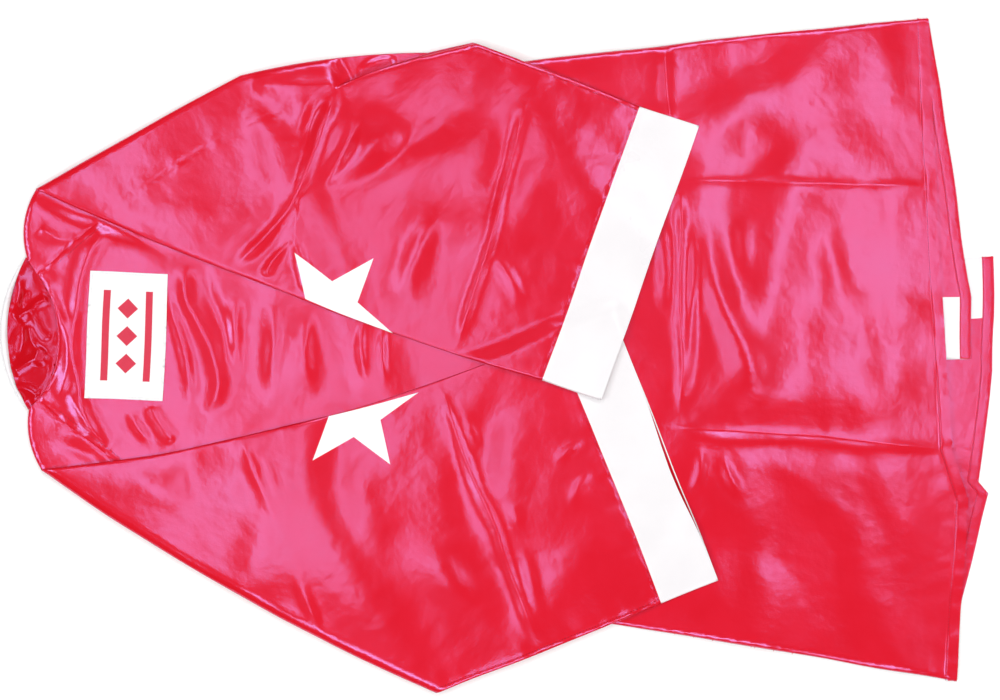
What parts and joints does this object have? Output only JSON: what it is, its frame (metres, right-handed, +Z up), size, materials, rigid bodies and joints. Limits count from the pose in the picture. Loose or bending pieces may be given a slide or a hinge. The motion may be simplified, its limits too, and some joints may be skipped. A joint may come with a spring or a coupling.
{
  "type": "boxing robe",
  "caption": "Satin boxing robe laid face down with both wide raglan sleeves folded over its back; contrast cuffs, collar and front bands.",
  "frame": {"origin": "centre of the robe's box, on the surface that it lies on", "axes": "+X from the collar to the hem, +Y to the wearer's right, +Z up, out of the robe's back"},
  "size_m": [1.294, 0.8782, 0.0229],
  "materials": {
    "satin_red": "polyester satin, glossy, lightly creased",
    "satin_white": "polyester satin, smooth",
    "label_white": "woven label, matt",
    "print_white": "flat screen print",
    "print_red": "flat screen print",
    "thread_red": "lockstitch thread",
    "thread_white": "lockstitch thread"
  },
  "bodies": {
    "robe": {"back_hem": "satin_red", "back_hem_stitching": "thread_red", "back_panel": "satin_red", "collar_band": "satin_white", "collar_lining": "satin_red", "left_front_band": "satin_white", "left_front_hem": "satin_red", "left_front_hem_stitching": "thread_red", "left_front_panel": "satin_red", "left_raglan_stitching": "thread_red", "left_shoulder_cap": "satin_red", "left_shoulder_fold": "satin_red", "left_side_seam": "satin_red", "name_patch": "label_white", "name_patch_print": "print_red", "name_patch_stitching": "thread_white", "neckline_stitching": "thread_red", "right_front_band": "satin_white", "right_front_hem": "satin_red", "right_front_hem_stitching": "thread_red", "right_front_panel": "satin_red", "right_raglan_stitching": "thread_red", "right_shoulder_cap": "satin_red", "right_shoulder_fold": "satin_red", "right_side_seam": "satin_red"},
    "right_arm": {"right_cuff": "satin_white", "right_cuff_lining": "satin_red", "right_cuff_stitching": "thread_red", "right_sleeve": "satin_red", "right_sleeve_star": "print_white", "right_underarm_seam": "satin_red"},
    "left_arm": {"left_cuff": "satin_white", "left_cuff_lining": "satin_red", "left_cuff_stitching": "thread_red", "left_sleeve": "satin_red", "left_sleeve_star": "print_white", "left_underarm_seam": "satin_red"}
  },
  "joints": [
    {"name": "right_sleeve_fold", "type": "hinge", "parent": "robe", "child": "right_arm", "pos_m": [-0.601, 0.22, 0.00895], "axis": [-0.9498, -0.3127, 0], "range_deg": [0, 179], "deforming": ["right_shoulder_fold"]},
    {"name": "left_sleeve_fold", "type": "hinge", "parent": "robe", "child": "left_arm", "pos_m": [-0.595, -0.148, 0.00895], "axis": [0.8702, -0.4927, 0], "range_deg": [0, 180], "deforming": ["left_shoulder_fold", "left_sleeve", "left_cuff", "left_cuff_lining", "left_cuff_stitching"]}
  ]
}
